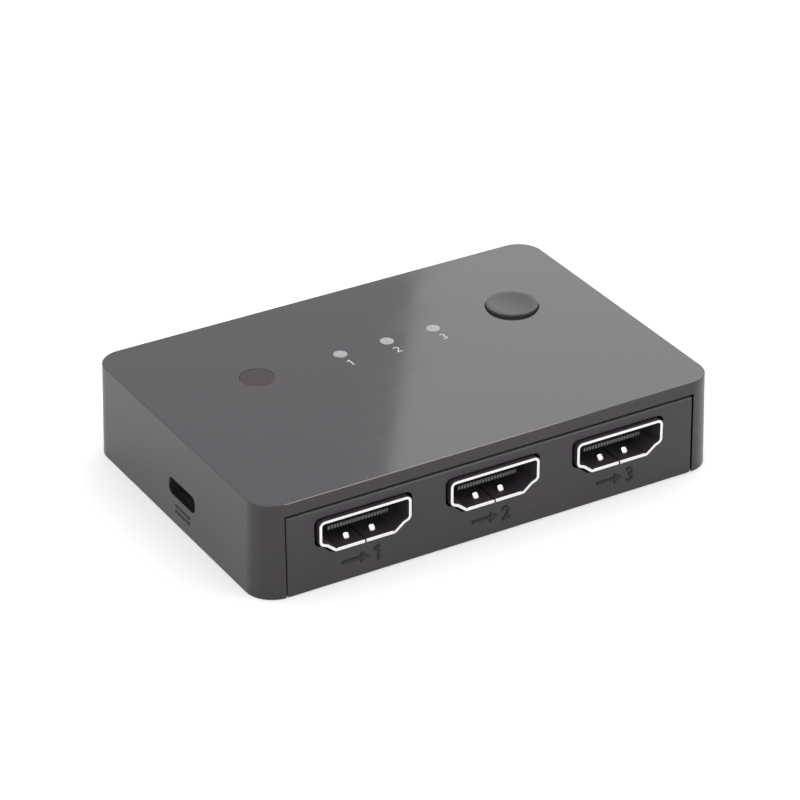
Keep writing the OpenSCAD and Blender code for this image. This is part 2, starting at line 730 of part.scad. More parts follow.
module receiver_window() color("#2a1218") translate([receiver_x, row_y, 0]) {
  translate([0, 0, under_top - window_flange_t]) {
    cylinder(h = window_flange_t, r = window_r + window_flange);
    cylinder(h = top_t + window_flange_t, r = window_r);
  }
}

module remote_receiver() color("#1c1a1f") translate([receiver_x, row_y, 0]) {
  lens_z = under_top - window_flange_t - receiver_gap - receiver_lens_r;
  body_z = lens_z - receiver_h;
  translate([-receiver_w / 2, -receiver_d / 2, body_z]) cube([receiver_w, receiver_d, receiver_h]);
  translate([0, 0, lens_z]) sphere(r = receiver_lens_r);
  for (i = [-1:1])
    translate([i * receiver_pitch - receiver_leg / 2, -receiver_leg / 2, board_top])
      cube([receiver_leg, receiver_leg, body_z - board_top + overlap]);
}

// A row of chip legs along X, reaching out towards -Y from a body of the given width
module chip_leg_row(count, pitch, body_w) {
  for (i = [0:count - 1])
    translate([(i - (count - 1) / 2) * pitch - pitch / 4, -body_w / 2 - leg_reach, 0])
      cube([pitch / 2, leg_reach + overlap, leg_t]);
}

module switching_chip() color("#1f1f22") translate([0, chip_y, board_top]) {
  translate([-chip_w / 2, -chip_w / 2, 0]) cube([chip_w, chip_w, chip_t]);
  for (a = [0:90:270]) rotate([0, 0, a]) chip_leg_row(chip_legs, chip_pitch, chip_w);
}

module control_chip() color("#1f1f22") translate([control_x, chip_y, board_top]) {
  translate([-control_l / 2, -control_w / 2, 0]) cube([control_l, control_w, chip_t]);
  for (a = [0, 180]) rotate([0, 0, a]) chip_leg_row(control_legs, control_pitch, control_w);
}

module voltage_regulator() color("#1f1f22") translate([reg_x, chip_y, board_top]) {
  translate([-reg_w / 2, -reg_l / 2, 0]) cube([reg_w, reg_l, reg_t]);
  // Wide cooling tab on one side, three legs on the other
  translate([-reg_w / 2 - leg_reach, -reg_l / 4, 0]) cube([leg_reach + overlap, reg_l / 2, leg_t]);
  for (i = [-1:1])
    translate([reg_w / 2 - overlap, i * reg_l / 3 - reg_l / 16, 0])
      cube([leg_reach + overlap, reg_l / 8, leg_t]);
}

module smoothing_capacitor() color("#b9bcc0") translate([cap_x, chip_y, board_top]) {
  translate([-cap_r, -cap_r, 0]) cube([2 * cap_r, 2 * cap_r, cap_seat_t]);
  translate([0, 0, cap_seat_t - overlap]) cylinder(h = cap_h + overlap, r = cap_r);
}

upper_shell();
base_plate();
front_panel();
rear_panel();
case_screws();
circuit_board();
video_shell(input_xs[0]);  // input_1_shell
video_shell(input_xs[1]);  // input_2_shell
video_shell(input_xs[2]);  // input_3_shell
rotate([0, 0, 180]) video_shell(output_xs[0]);  // output_shell
video_insulator(input_xs[0]);  // input_1_insulator
video_insulator(input_xs[1]);  // input_2_insulator
video_insulator(input_xs[2]);  // input_3_insulator
rotate([0, 0, 180]) video_insulator(output_xs[0]);  // output_insulator
video_contacts(input_xs[0]);  // input_1_contacts
video_contacts(input_xs[1]);  // input_2_contacts
video_contacts(input_xs[2]);  // input_3_contacts
rotate([0, 0, 180]) video_contacts(output_xs[0]);  // output_contacts
power_socket_shell();
power_socket_insulator();
power_socket_contacts();
select_button();
press_switch_body();
press_switch_plunger();
lamp(light_xs[0]);  // lamp_1
lamp(light_xs[1]);  // lamp_2
lamp(light_xs[2]);  // lamp_3
light_guide();
receiver_window();
remote_receiver();
switching_chip();
control_chip();
voltage_regulator();
smoothing_capacitor();
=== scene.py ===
"""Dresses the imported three-input video switch box and sets up its studio.

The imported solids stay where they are. This script rounds their edges, gives every node its finish,
adds the small raised and printed signs, and makes the floor, the light and the camera.
"""

import logging
import math
from dataclasses import dataclass, field
from enum import Enum
from typing import Any, ClassVar, Sequence

import bpy
from mathutils import Matrix, Vector


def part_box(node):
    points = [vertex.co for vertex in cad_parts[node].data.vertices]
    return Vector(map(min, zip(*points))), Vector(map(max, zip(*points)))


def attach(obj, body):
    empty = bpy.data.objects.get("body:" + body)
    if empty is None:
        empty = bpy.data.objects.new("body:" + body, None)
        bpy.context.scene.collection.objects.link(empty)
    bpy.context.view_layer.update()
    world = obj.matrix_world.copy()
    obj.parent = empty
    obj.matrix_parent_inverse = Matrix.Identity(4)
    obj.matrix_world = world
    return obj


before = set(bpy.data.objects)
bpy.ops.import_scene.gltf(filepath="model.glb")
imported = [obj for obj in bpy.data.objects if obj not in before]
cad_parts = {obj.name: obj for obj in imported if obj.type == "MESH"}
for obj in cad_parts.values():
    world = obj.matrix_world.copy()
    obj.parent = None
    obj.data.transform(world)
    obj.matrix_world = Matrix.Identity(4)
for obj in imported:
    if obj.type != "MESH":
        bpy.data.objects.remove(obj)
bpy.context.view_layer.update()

CASE_BODY = "case"
MM = 0.001

Colour = tuple[float, float, float]
Stretch = tuple[float, float, float]
Range = tuple[float, float]
Point = tuple[float, float]
Socket = bpy.types.NodeSocket
Material = bpy.types.Material
Mesh = bpy.types.Mesh

log = logging.getLogger("switch_box")


class Axis(Enum):
    """Axes along which a socket's mouth can look."""

    X = 0
    Y = 1


class Facing(Enum):
    """Outer faces that carry signs: the right-hand and outward directions of each."""

    FRONT = (Vector((1, 0, 0)), Vector((0, -1, 0)))
    BACK = (Vector((-1, 0, 0)), Vector((0, 1, 0)))
    LEFT = (Vector((0, -1, 0)), Vector((-1, 0, 0)))
    TOP = (Vector((1, 0, 0)), Vector((0, 0, 1)))


def toned(colour: Colour, factor: float) -> Colour:
    """Returns a colour made lighter or darker by a factor."""
    red, green, blue = colour
    return red * factor, green * factor, blue * factor


def middle_of(node: str) -> Vector:
    """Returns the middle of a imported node's box."""
    low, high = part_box(node)
    return (low + high) / 2


class NodeGraph:
    """A new material with short calls that add nodes and join them."""

    def __init__(self, name: str) -> None:
        """Makes an empty material.

        Args:
            name: The material's name.
        """
        self.material = bpy.data.materials.new(name)
        self.material.use_nodes = True
        self.tree = self.material.node_tree
        self.tree.nodes.clear()
        self.place = self.add("ShaderNodeTexCoord").outputs["Object"]

    def add(
        self, kind: str, inputs: dict[Any, Any] | None = None, **settings: Any
    ) -> bpy.types.Node:
        """Adds a node.

        Args:
            kind: Blender's name for the node.
            inputs: Values or sockets for the node's inputs, by name or number.
            **settings: Other properties of the node.

        Returns:
            The node.
        """
        node = self.tree.nodes.new(kind)
        for key, value in settings.items():
            setattr(node, key, value)
        for key, value in (inputs or {}).items():
            if isinstance(value, Socket):
                self.tree.links.new(value, node.inputs[key])
            else:
                node.inputs[key].default_value = value
        return node

    def noise(
        self, size_mm: float, detail: float = 3.0, stretch: Stretch = (1.0, 1.0, 1.0)
    ) -> Socket:
        """Adds a cloudy pattern.

        Args:
            size_mm: Size of one cloud.
            detail: How much finer detail it holds.
            stretch: How much the pattern is squeezed along each axis.

        Returns:
            The pattern, about 0.5 on average.
        """
        squeezed = self.add(
            "ShaderNodeVectorMath", {0: self.place, 1: stretch}, operation="MULTIPLY"
        )
        inputs = {"Vector": squeezed.outputs[0], "Scale": 1 / (size_mm * MM), "Detail": detail}
        return self.add("ShaderNodeTexNoise", inputs).outputs[0]

    def cells(self, pitch_mm: float, **settings: Any) -> bpy.types.Node:
        """Adds a pattern of cells, each with a random colour of its own."""
        inputs = {"Vector": self.place, "Scale": 1 / (pitch_mm * MM)}
        return self.add("ShaderNodeTexVoronoi", inputs, **settings)

    def spread(
        self, value: Socket, low: float = 0.0, high: float = 1.0, over: Range = (0.3, 0.7)
    ) -> Socket:
        """Maps a pattern smoothly to a range.

        Args:
            value: The pattern.
            low: Result where the change starts and below.
            high: Result where the change ends and above.
            over: Where the change starts and ends.

        Returns:
            The mapped value.
        """
        start, end = over
        inputs = {"Value": value, "From Min": start, "From Max": end, "To Min": low, "To Max": high}
        return self.add(
            "ShaderNodeMapRange", inputs, interpolation_type="SMOOTHSTEP"
        ).outputs[0]

    def swing(self, value: Socket, middle: float, by: float) -> Socket:
        """Maps a pattern to values a little under and over a middle one."""
        return self.spread(value, middle - by, middle + by)

    def math(self, operation: str, a: Any, b: Any = 0.0) -> Socket:
        """Adds one step of arithmetic on two values."""
        return self.add("ShaderNodeMath", {0: a, 1: b}, operation=operation).outputs[0]

    def product(self, first: Any, *others: Any) -> Any:
        """Multiplies values; a product of masks holds only where all of them do.

        Args:
            first: The first value.
            *others: The values that it is multiplied by, in turn.

        Returns:
            The product.
        """
        for other in others:
            first = self.math("MULTIPLY", first, other)
        return first

    def outside(self, mask: Socket) -> Socket:
        """Turns a mask inside out."""
        return self.math("SUBTRACT", 1.0, mask)

    def mix(self, amount: Socket, a: Socket, b: Socket) -> Socket:
        """Mixes two plain values."""
        return self.add("ShaderNodeMix", {"Factor": amount, "A": a, "B": b}).outputs[0]

    def blend(self, amount: Any, a: Any, b: Any) -> Socket:
        """Mixes two colours.

        Args:
            amount: 0 gives the first colour, 1 the second.
            a: First colour, as a value or a socket.
            b: Second colour, as a value or a socket.

        Returns:
            The mixed colour.
        """
        node = self.add("ShaderNodeMix", {"Factor": amount}, data_type="RGBA")
        for socket, value in zip([s for s in node.inputs if s.type == "RGBA"], (a, b)):
            if isinstance(value, Socket):
                self.tree.links.new(value, socket)
            else:
                socket.default_value = (*value, 1.0)
        return next(s for s in node.outputs if s.type == "RGBA")

    def bump(self, height: Socket, depth_mm: float, strength: Any = 1.0) -> Socket:
        """Turns a pattern into a fine relief.

        Args:
            height: The pattern.
            depth_mm: Depth of the relief.
            strength: How much of it shows.

        Returns:
            The bent surface normal.
        """
        inputs = {"Height": height, "Strength": strength, "Distance": depth_mm * MM}
        return self.add("ShaderNodeBump", inputs).outputs[0]

    def split(self, vector: Socket) -> Sequence[Socket]:
        """Returns the x, y and z of a vector."""
        return self.add("ShaderNodeSeparateXYZ", {0: vector}).outputs

    def facing(self) -> Sequence[Socket]:
        """Returns the x, y and z of the way that the surface faces."""
        return self.split(self.add("ShaderNodeNewGeometry").outputs["Normal"])

    def upward(self, turn: Range) -> Socket:
        """Gives 1 where the surface faces up and 0 where it faces sideways or down."""
        return self.spread(self.facing()[2], over=turn)

    def close(self, **inputs: Any) -> Material:
        """Adds the surface shader and the output.

        Args:
            **inputs: The shader's inputs, with _ for each space in a name.

        Returns:
            The finished material.
        """
        values = {key.replace("_", " "): value for key, value in inputs.items()}
        shader = self.add("ShaderNodeBsdfPrincipled", values)
        self.add("ShaderNodeOutputMaterial", {"Surface": shader.outputs[0]})
        return self.material


@dataclass(frozen=True)
class Finish:
    """What every finish has: a name, the record's slot, and one material made on first use."""

    name: str
    slot: str
    made: ClassVar[dict[str, Material]] = {}

    def paint(self) -> Material:
        """Builds the material; each kind of finish does this its own way."""
        raise NotImplementedError

    def material(self) -> Material:
        """Gives the finish's material, and builds it the first time.

        Returns:
            The material.
        """
        if self.name not in Finish.made:
            Finish.made[self.name] = self.paint()
        return Finish.made[self.name]


@dataclass(frozen=True)
class Moulding(Finish):
    """Moulded plastic with a fine spark-eroded grain."""

    colour: Colour = (0.027, 0.0215, 0.028)
    pale: float = 1.2
    shine: float = 0.5
    roughness: float = 0.36
    roughness_swing: float = 0.04
    cloud_mm: float = 9.0
    grain_mm: float = 0.11
    grain_depth_mm: float = 0.006
    grain_detail: float = 1.0
    edge_gloss: float = 0.0
    edge_turn: Range = (0.3, 0.6)
    # Lighter colour on upward faces: painted light on ledges that lie in shade
    ledge_dust: float = 0.0
    ledge_turn: Range = (0.9, 0.97)

    def paint(self) -> Material:
        """Builds the grain, the clouds and the sheen, with smooth upper edges and painted light on
        the upward ledges.

        Returns:
            The material.
        """
        graph = NodeGraph(self.name)
        clouds = graph.noise(self.cloud_mm)
        grain = graph.noise(self.grain_mm, detail=self.grain_detail)
        tone = graph.blend(graph.spread(clouds), self.colour, toned(self.colour, self.pale))
        rough = graph.swing(clouds, self.roughness, self.roughness_swing)
        grain_shows: Any = 1.0
        if self.edge_gloss > 0:
            edge = graph.upward(self.edge_turn)
            rough = graph.math("SUBTRACT", rough, graph.product(edge, self.edge_gloss))
            grain_shows = graph.outside(edge)
        # Upward ledges take a lighter colour: painted light where these faces lie in shade under the
        # case's lip
        if self.ledge_dust > 0:
            tone = graph.blend(graph.upward(self.ledge_turn), tone, (self.ledge_dust,) * 3)
        return graph.close(
            Base_Color=tone,
            Roughness=rough,
            Specular_IOR_Level=self.shine,
            Normal=graph.bump(grain, self.grain_depth_mm, grain_shows),
        )


@dataclass(frozen=True)
class CasePlastic(Finish):
    """One black moulding: polished on top and satin on its sides, with painted shade and a rougher
    finish on its inner walls.
    """

    side: Colour = (0.0085, 0.006, 0.009)
    side_pale: float = 1.2
    side_roughness: float = 0.33
    side_swing: float = 0.012
    cloud_mm: float = 9.0
    grain_mm: float = 0.11
    grain_depth_mm: float = 0.006
    grain_detail: float = 1.0
    top: Colour = (0.029, 0.026, 0.032)
    top_roughness: float = 0.05
    polish_z: float = 14.4 * MM
    polish_turn: Range = (0.3, 0.65)
    wipe_mm: float = 6.0
    wipe_stretch: Stretch = (0.4, 1.0, 1.0)
    wipe_roughness: float = 0.04
    # Painted shade colour for the inner walls, darker than the sides
    raw: Colour = (0.006, 0.006, 0.006)
    raw_roughness: float = 0.3
    raw_z: float = 1.0 * MM
    raw_half: Point = (37.5 * MM, 20 * MM)
    speck: Colour = (0.3, 0.3, 0.31)
    speck_pitch_mm: float = 3.4
    speck_reach: Range = (0.012, 0.03)
    speck_rarity: float = 0.8
    speck_cover: float = 0.5
    shine: float = 0.66
    gloss_tint: Colour = (1.0, 0.945, 1.0)

    def paint(self) -> Material:
        """Builds the polished top, the satin sides and the rougher inner walls with their painted
        shade, and a little dust on the polished top.

        Returns:
            The material.
        """
        graph = NodeGraph(self.name)
        high = graph.math("GREATER_THAN", graph.split(graph.place)[2], self.polish_z)
        polished = graph.product(graph.upward(self.polish_turn), high)
        inner = self._inner_walls(graph, high)
        dust = graph.product(self._specks(graph), polished, self.speck_cover)
        clouds = graph.noise(self.cloud_mm)
        grain = graph.noise(self.grain_mm, detail=self.grain_detail)
        sides = graph.blend(graph.spread(clouds), self.side, toned(self.side, self.side_pale))
        # Inner walls take the painted shade colour, for the shade inside the slot and behind the
        # openings
        body = graph.blend(inner, graph.blend(polished, sides, self.top), self.raw)
        satin = graph.swing(clouds, self.side_roughness, self.side_swing)
        wiped = graph.spread(
            graph.noise(self.wipe_mm, stretch=self.wipe_stretch),
            self.top_roughness,
            self.top_roughness + self.wipe_roughness,
        )
        dusty = graph.math("ADD", graph.mix(polished, satin, wiped), dust)
        return graph.close(
            Base_Color=graph.blend(dust, body, self.speck),
            Roughness=graph.math("ADD", dusty, graph.product(inner, self.raw_roughness)),
            Specular_IOR_Level=self.shine,
            Specular_Tint=(*self.gloss_tint, 1.0),
            Normal=graph.bump(grain, self.grain_depth_mm, graph.outside(polished)),
        )

    def _inner_walls(self, graph: NodeGraph, high: Socket) -> Socket:
        """Finds the inner walls, above the skirt and under the top, where shade is painted.

        Args:
            graph: The material.
            high: 1 at the height of the top.

        Returns:
            1 on the inner walls and 0 elsewhere.
        """
        at = graph.split(graph.place)
        within = [
            graph.math("LESS_THAN", graph.math("ABSOLUTE", at[i]), half)
            for i, half in enumerate(self.raw_half)
        ]
        above = graph.math("GREATER_THAN", at[2], self.raw_z)
        return graph.product(*within, graph.math("SUBTRACT", above, high))

    def _specks(self, graph: NodeGraph) -> Socket:
        """Scatters specks of dust.

        Args:
            graph: The material.

        Returns:
            1 on the specks and 0 elsewhere.
        """
        cells = graph.cells(self.speck_pitch_mm)
        near = graph.spread(cells.outputs["Distance"], 1.0, 0.0, self.speck_reach)
        draw = graph.split(cells.outputs["Color"])[0]
        return graph.product(near, graph.math("GREATER_THAN", draw, self.speck_rarity))


@dataclass(frozen=True)
class Plating(Finish):
    """Plated or bare metal with fine drawing marks."""

    colour: Colour
    roughness: float
    mark_mm: float
    mark_tone: float = 0.93
    mark_depth_mm: float = 0.002
    mark_detail: float = 4.0
    mark_stretch: Stretch = (1.0, 0.12, 1.0)
    roughness_swing: float = 0.08

    def paint(self) -> Material:
        """Builds the drawing marks, which change the sheen and the tone a little.

        Returns:
            The material.
        """
        graph = NodeGraph(self.name)
        marks = graph.noise(self.mark_mm, detail=self.mark_detail, stretch=self.mark_stretch)
        darker = toned(self.colour, self.mark_tone)
        return graph.close(
            Base_Color=graph.blend(graph.spread(marks), darker, self.colour),
            Metallic=1.0,
            Roughness=graph.spread(marks, self.roughness, self.roughness + self.roughness_swing),
            Normal=graph.bump(marks, self.mark_depth_mm),
        )


@dataclass(frozen=True)
class SocketSheet(Finish):
    """Nickel sheet: plain bright nickel where a face turns to the socket's mouth, with painted shade
    and a matt finish where it turns away.
    """

    colour: Colour = (0.84, 0.83, 0.81)
    roughness: float = 0.26
    # Painted shade colour for faces turned away from the mouth, such as the shell's inner walls
    dull: Colour = (0.25, 0.22, 0.26)
    dull_roughness: float = 0.5
    turn: Range = (0.25, 0.6)
    mouth: Axis = Axis.Y

    def paint(self) -> Material:
        """Builds the plain nickel tone and the painted shade by how far a face turns to the socket's
        mouth.

        Returns:
            The material.
        """
        graph = NodeGraph(self.name)
        turned = graph.math("ABSOLUTE", graph.facing()[self.mouth.value])
        unshaded = graph.spread(turned, over=self.turn)
        return graph.close(
            # Faces turned away from the mouth take the painted shade colour and a rougher finish
            Base_Color=graph.blend(unshaded, self.dull, self.colour),
            Metallic=1.0,
            Roughness=graph.spread(turned, self.dull_roughness, self.roughness, self.turn),
        )


@dataclass(frozen=True)
class Resin(Finish):
    """Clear, milky or deeply tinted resin."""

    colour: Colour
    clear: float
    roughness: float
    ior: float = 1.49
    flow_mm: float = 1.4
    flow_detail: float = 2.0
    flow_tone: float = 0.92
    roughness_swing: float = 0.05

    def paint(self) -> Material:
        """Builds the resin with faint flow marks.

        Returns:
            The material.
        """
        graph = NodeGraph(self.name)
        flow = graph.noise(self.flow_mm, detail=self.flow_detail)
        deeper = toned(self.colour, self.flow_tone)
        return graph.close(
            Base_Color=graph.blend(graph.spread(flow), self.colour, deeper),
            Roughness=graph.spread(flow, self.roughness, self.roughness + self.roughness_swing),
            Transmission_Weight=self.clear,
            IOR=self.ior,
        )


@dataclass(frozen=True)
class Laminate(Finish):
    """Green solder mask over copper tracks, on glass-fibre whose cut edges show."""

    mask: Colour = (0.012, 0.075, 0.03)
    mask_roughness: float = 0.28
    track: Colour = (0.025, 0.13, 0.05)
    track_pitch_mm: float = 0.8
    track_rise_mm: float = 0.03
    track_edge: Range = (0.2, 0.45)
    patch_mm: float = 9.0
    across_share: float = 0.5
    tracked_share: float = 0.75
    fibre: Colour = (0.28, 0.26, 0.14)
    fibre_tone: float = 0.7
    fibre_mm: float = 0.2
    fibre_roughness: float = 0.75
    face_turn: Range = (0.4, 0.8)
    sheen_over: Range = (0.2, 0.8)

    def paint(self) -> Material:
        """Builds the masked faces and the bare cut edges.

        Returns:
            The material.
        """
        graph = NodeGraph(self.name)
        track = self._tracks(graph)
        level = graph.math("ABSOLUTE", graph.facing()[2])
        face = graph.spread(level, over=self.face_turn)
        weave = graph.spread(graph.noise(self.fibre_mm))
        fibre = graph.blend(weave, self.fibre, toned(self.fibre, self.fibre_tone))
        masked = graph.blend(track, self.mask, self.track)
        return graph.close(
            Base_Color=graph.blend(face, fibre, masked),
            Roughness=graph.spread(
                face, self.fibre_roughness, self.mask_roughness, self.sheen_over
            ),
            Normal=graph.bump(graph.product(track, face), self.track_rise_mm),
        )

    def _tracks(self, graph: NodeGraph) -> Socket:
        """Draws bundles of tracks that run across in some patches and along in others.

        Args:
            graph: The material.

        Returns:
            1 on the tracks and 0 elsewhere.
        """
        patches = graph.cells(self.patch_mm, distance="CHEBYCHEV")
        draw = graph.split(patches.outputs["Color"])
        at = graph.split(graph.place)
        turns = 2 * math.pi / (self.track_pitch_mm * MM)
        lines = [
            graph.spread(graph.math("SINE", graph.product(at[i], turns)), over=self.track_edge)
            for i in (0, 1)
        ]
        along = graph.math("GREATER_THAN", draw[0], self.across_share)
        bare = graph.math("GREATER_THAN", draw[1], self.tracked_share)
        return graph.product(graph.mix(along, *lines), graph.outside(bare))


@dataclass(frozen=True)
class ChipPackage(Finish):
    """Black chip body with a corner dot, and tinned legs where the part reaches past the body."""

    centre: Point
    half: Point
    body: Colour = (0.018, 0.018, 0.019)
    body_roughness: float = 0.62
    body_slack: float = 0.01 * MM
    grit_mm: float = 0.08
    grit_depth_mm: float = 0.006
    grit_detail: float = 1.0
    grit_tone: float = 1.8
    dot_tone: float = 3.0
    dot_r: float = 0.4 * MM
    dot_inset: float = 0.9 * MM
    tin: Colour = (0.62, 0.62, 0.6)
    tin_roughness: float = 0.3

    def paint(self) -> Material:
        """Builds the moulding compound, the dot and the legs.

        Returns:
            The material.
        """
        graph = NodeGraph(self.name)
        flat = graph.add(
            "ShaderNodeVectorMath", {0: graph.place, 1: (1, 1, 0)}, operation="MULTIPLY"
        ).outputs[0]
        leg, dot = self._legs(graph, flat), self._dot(graph, flat)
        grit = graph.noise(self.grit_mm, detail=self.grit_detail)
        speckled = graph.blend(graph.spread(grit), self.body, toned(self.body, self.grit_tone))
        dotted = graph.blend(dot, speckled, toned(self.body, self.dot_tone))
        return graph.close(
            Base_Color=graph.blend(leg, dotted, self.tin),
            Metallic=leg,
            Roughness=graph.spread(leg, self.body_roughness, self.tin_roughness, (0.0, 1.0)),
            Normal=graph.bump(grit, self.grit_depth_mm),
        )

    def _legs(self, graph: NodeGraph, flat: Socket) -> Socket:
        """Finds what reaches past the body.

        Args:
            graph: The material.
            flat: The place on the board, without its height.

        Returns:
            1 on the legs and 0 on the body.
        """
        past = [
            graph.math(
                "GREATER_THAN",
                graph.math("ABSOLUTE", graph.math("SUBTRACT", at, centre)),
                half + self.body_slack,
            )
            for at, centre, half in zip(graph.split(flat), self.centre, self.half)
        ]
        return graph.math("MAXIMUM", *past)

    def _dot(self, graph: NodeGraph, flat: Socket) -> Socket:
        """Marks one corner of the body with a dot.

        Args:
            graph: The material.
            flat: The place on the board, without its height.

        Returns:
            1 on the dot and 0 elsewhere.
        """
        x, y = (c - half + self.dot_inset for c, half in zip(self.centre, self.half))
        away = graph.add("ShaderNodeVectorMath", {0: flat, 1: (x, y, 0.0)}, operation="DISTANCE")
        return graph.math("LESS_THAN", away.outputs["Value"], self.dot_r)


@dataclass(frozen=True)
class CanMetal(Finish):
    """Drawn aluminium can with a dark seat below and a dark mark on one side of its top."""

    centre_x: float
    seat_top: float
    colour: Colour = (0.68, 0.69, 0.71)
    roughness: Range = (0.24, 0.36)
    line_mm: float = 0.3
    line_stretch: Stretch = (1.0, 1.0, 0.1)
    dark: Colour = (0.015, 0.015, 0.016)
    mark_from: float = 1.0 * MM
    mark_turn: Range = (0.6, 0.8)

    def paint(self) -> Material:
        """Builds the can, the seat and the mark.

        Returns:
            The material.
        """
        graph = NodeGraph(self.name)
        at = graph.split(graph.place)
        seat = graph.math("LESS_THAN", at[2], self.seat_top)
        side = graph.math("LESS_THAN", at[0], self.centre_x - self.mark_from)
        dark = graph.math("MAXIMUM", seat, graph.product(side, graph.upward(self.mark_turn)))
        lines = graph.noise(self.line_mm, stretch=self.line_stretch)
        return graph.close(
            Base_Color=graph.blend(dark, self.colour, self.dark),
            Metallic=graph.outside(dark),
            Roughness=graph.spread(lines, *self.roughness),
        )


@dataclass(frozen=True)
class Ink(Finish):
    """Thin printed ink with slightly uneven cover."""

    colour: Colour = (0.62, 0.62, 0.62)
    thin_tone: float = 0.85
    thin_roughness: float = 0.55
    full_roughness: float = 0.45
    cover_mm: float = 0.2

    def paint(self) -> Material:
        """Builds the ink.

        Returns:
            The material.
        """
        graph = NodeGraph(self.name)
        cover = graph.spread(graph.noise(self.cover_mm))
        return graph.close(
            Base_Color=graph.blend(cover, toned(self.colour, self.thin_tone), self.colour),
            Roughness=graph.spread(cover, self.thin_roughness, self.full_roughness, (0.0, 1.0)),
        )


CASE_PLASTIC = CasePlastic("polished_black_case", "case_plastic")
# The panel's upward ledges carry painted light, lighter than the shade that falls on them
PANEL_PLASTIC = Moulding("satin_black_panel", "panel_plastic", edge_gloss=0.06, ledge_dust=0.12)
BASE_PLASTIC = Moulding(
    "matt_black_base", "base_plastic", colour=(0.028, 0.028, 0.029), roughness=0.55,
    grain_mm=0.25, grain_depth_mm=0.015,
)
SIGN_PLASTIC = Moulding(
    "satin_black_sign", "panel_plastic", colour=(0.01, 0.008, 0.01), roughness=0.38, shine=0.4,
)
SOCKET_STEEL = SocketSheet("nickel_sheet", "socket_steel")
POWER_STEEL = SocketSheet("nickel_power_sheet", "socket_steel", mouth=Axis.X)
SOCKET_PLASTIC = Moulding(
    "black_socket_block", "socket_plastic", colour=(0.055, 0.052, 0.057), roughness=0.16,
    shine=1.0, grain_depth_mm=0.002,
)
# The gold is darkened and greyed: painted shade for contacts that lie deep inside the sockets
CONTACT_GOLD = Plating(
    "gold_contacts", "contact_gold", colour=(0.6, 0.47, 0.25), roughness=0.32, mark_mm=0.1,
)
BOARD = Laminate("green_board", "board_laminate")
BUTTON_PLASTIC = Moulding("satin_button", "button_plastic", colour=(0.04, 0.04, 0.042))
SWITCH_PLASTIC = Moulding(
    "black_switch", "switch_plastic", colour=(0.02, 0.02, 0.021), roughness=0.5,
)
PLUNGER_PLASTIC = Moulding(
    "white_plunger", "plunger_plastic", colour=(0.66, 0.64, 0.58), pale=1.1, roughness=0.45,
)
LAMP_RESIN = Resin(
    "milky_lamp", "lamp_resin", colour=(0.8, 0.77, 0.62), clear=0.25, roughness=0.25,
)
GUIDE_ACRYLIC = Resin(
    "frosted_guide", "guide_acrylic", colour=(0.86, 0.88, 0.9), clear=0.55, roughness=0.2,
)
WINDOW_RESIN = Resin(
    "dark_red_window", "window_resin", colour=(0.035, 0.006, 0.01), clear=0.35, roughness=0.04,
)
SCREW_STEEL = Plating(
    "zinc_screw", "screw_steel", colour=(0.5, 0.5, 0.52), roughness=0.3, mark_mm=0.3,
)
INK = Ink("white_ink", "panel_plastic")


@dataclass
class EdgeRounder:
    """Rounds the sharp edges of a solid with modifiers, so that its own points stay as they are."""

    weld_mm: float = 0.001
    flat_angle: float = 0.3
    sharp_angle: float = 30.0
    segments: int = 3
    face_weight: int = 80

    def apply(self, piece: bpy.types.Object, width_mm: float) -> None:
        """Adds the modifiers.

        Args:
            piece: The solid.
            width_mm: Width of the rounding.
        """
        weld = piece.modifiers.new("weld", "WELD")
        weld.merge_threshold = self.weld_mm * MM
        flat = piece.modifiers.new("flat_faces", "DECIMATE")
        flat.decimate_type = "DISSOLVE"
        flat.angle_limit = math.radians(self.flat_angle)
        bevel = piece.modifiers.new("soft_edges", "BEVEL")
        bevel.width = width_mm * MM
        bevel.segments = self.segments
        bevel.limit_method = "ANGLE"
        bevel.angle_limit = math.radians(self.sharp_angle)
        shade = piece.modifiers.new("even_shading", "WEIGHTED_NORMAL")
        shade.mode = "FACE_AREA"
        shade.weight = self.face_weight


class Assembly:
    """Common ground of the sub-assemblies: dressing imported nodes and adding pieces."""

    rounder = EdgeRounder()

    def dress(self, node: str, finish: Finish, edge_mm: float) -> None:
        """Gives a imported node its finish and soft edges.

        Args:
            node: The node's name.
            finish: Its finish.
            edge_mm: Width of the rounding on its edges.
        """
        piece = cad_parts[node]
        piece.data.materials.clear()
        piece.data.materials.append(finish.material())
        self.rounder.apply(piece, edge_mm)
        log.info("dressed %s as %s", node, finish.name)

    def place(self, name: str, mesh: Mesh, at: Matrix, finish: Finish) -> None:
        """Adds a new piece that rides on the case.

        Args:
            name: The piece's name.
            mesh: Its mesh.
            at: Where it goes.
            finish: Its finish.
        """
        piece = bpy.data.objects.new(name, mesh)
        bpy.context.scene.collection.objects.link(piece)
        mesh.transform(at)
        mesh.materials.clear()
        mesh.materials.append(finish.material())
        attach(piece, CASE_BODY)
        log.info("added %s on %s", name, CASE_BODY)


